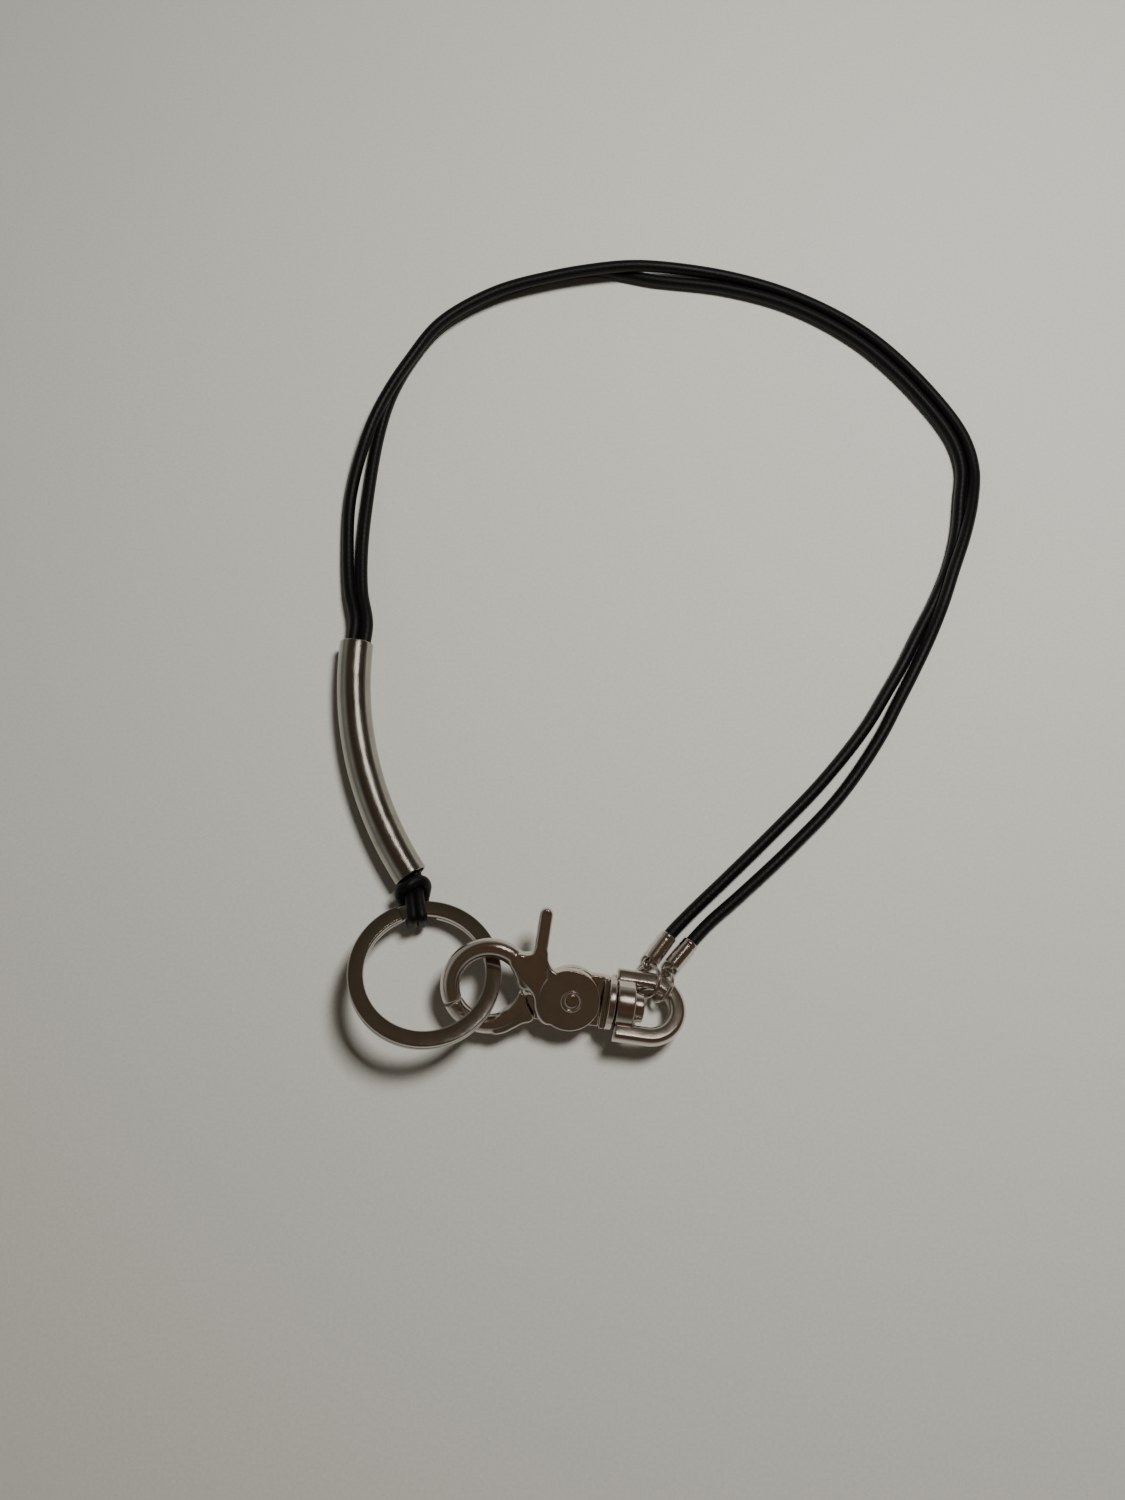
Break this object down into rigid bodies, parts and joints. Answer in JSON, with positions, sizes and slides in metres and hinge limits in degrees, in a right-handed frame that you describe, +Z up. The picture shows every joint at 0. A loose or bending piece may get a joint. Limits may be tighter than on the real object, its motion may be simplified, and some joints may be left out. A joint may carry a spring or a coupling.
{
  "type": "trigger_hook_key_lanyard",
  "caption": "Black round-cord key lanyard laid in a loop, with a nickel scissor trigger hook on a swivel eye, a flat split ring and a curved metal sleeve",
  "frame": {"origin": "centre of the box of the metal pieces and the sleeve, on the surface the lanyard lies on", "axes": "+Z up from the surface, +X along the hook towards its swivel, +Y along the sleeve away from the hook"},
  "size_m": [0.136, 0.1702, 0.014],
  "materials": {
    "cord": "satin",
    "nickel": "polished",
    "ring_steel": "polished",
    "sleeve_steel": "scuffed",
    "spring_steel": "satin"
  },
  "bodies": {
    "strap": {"cord_a": "cord", "cord_b": "cord", "cord_hitch": "cord", "ferrule_a": "nickel", "ferrule_b": "nickel"},
    "sleeve": {"sleeve_tube": "sleeve_steel"},
    "ring": {"split_ring": "ring_steel"},
    "jump_a": {"jump_ring_a": "nickel"},
    "jump_b": {"jump_ring_b": "nickel"},
    "eye": {"swivel_eye": "nickel"},
    "hook": {"hook_body": "nickel", "swivel_post": "nickel", "pivot_rivet": "nickel", "torsion_spring": "spring_steel"},
    "trigger": {"trigger_jaw": "nickel"}
  },
  "joints": [
    {"name": "sleeve_slide", "type": "hinge", "parent": "strap", "child": "sleeve", "pos_m": [0.0415, 0.034, 0.0034], "axis": [0, 0, -1], "range_deg": [0, 3.6]},
    {"name": "ring_spin", "type": "hinge", "parent": "strap", "child": "ring", "pos_m": [-0.0159, -0.0264, 0.00795], "axis": [0.1198, 0.3291, 0.9367], "continuous": true},
    {"name": "jump_ring_a_spin", "type": "hinge", "parent": "strap", "child": "jump_a", "pos_m": [0.02639, -0.02767, 0.00273], "axis": [-0.7225, 0.147, 0.6756], "continuous": true},
    {"name": "jump_ring_b_spin", "type": "hinge", "parent": "strap", "child": "jump_b", "pos_m": [0.0291, -0.02868, 0.00307], "axis": [-0.782, 0.3899, 0.4863], "continuous": true},
    {"name": "eye_swing", "type": "hinge", "parent": "strap", "child": "eye", "pos_m": [0.0274, -0.0281, 0.0029], "axis": [0, 0, 1], "range_deg": [-2, 2]},
    {"name": "hook_swivel", "type": "hinge", "parent": "eye", "child": "hook", "pos_m": [0.02148, -0.03229, 0.00495], "axis": [0.9879, -0.1388, -0.0698], "range_deg": [-3, 100]},
    {"name": "trigger_open", "type": "hinge", "parent": "hook", "child": "trigger", "pos_m": [0.0116, -0.0309, 0.00565], "axis": [-0.0254, 0.2988, -0.954], "range_deg": [0, 30], "stiffness_Nm_per_rad": 0.06, "springref_deg": -29.79}
  ]
}
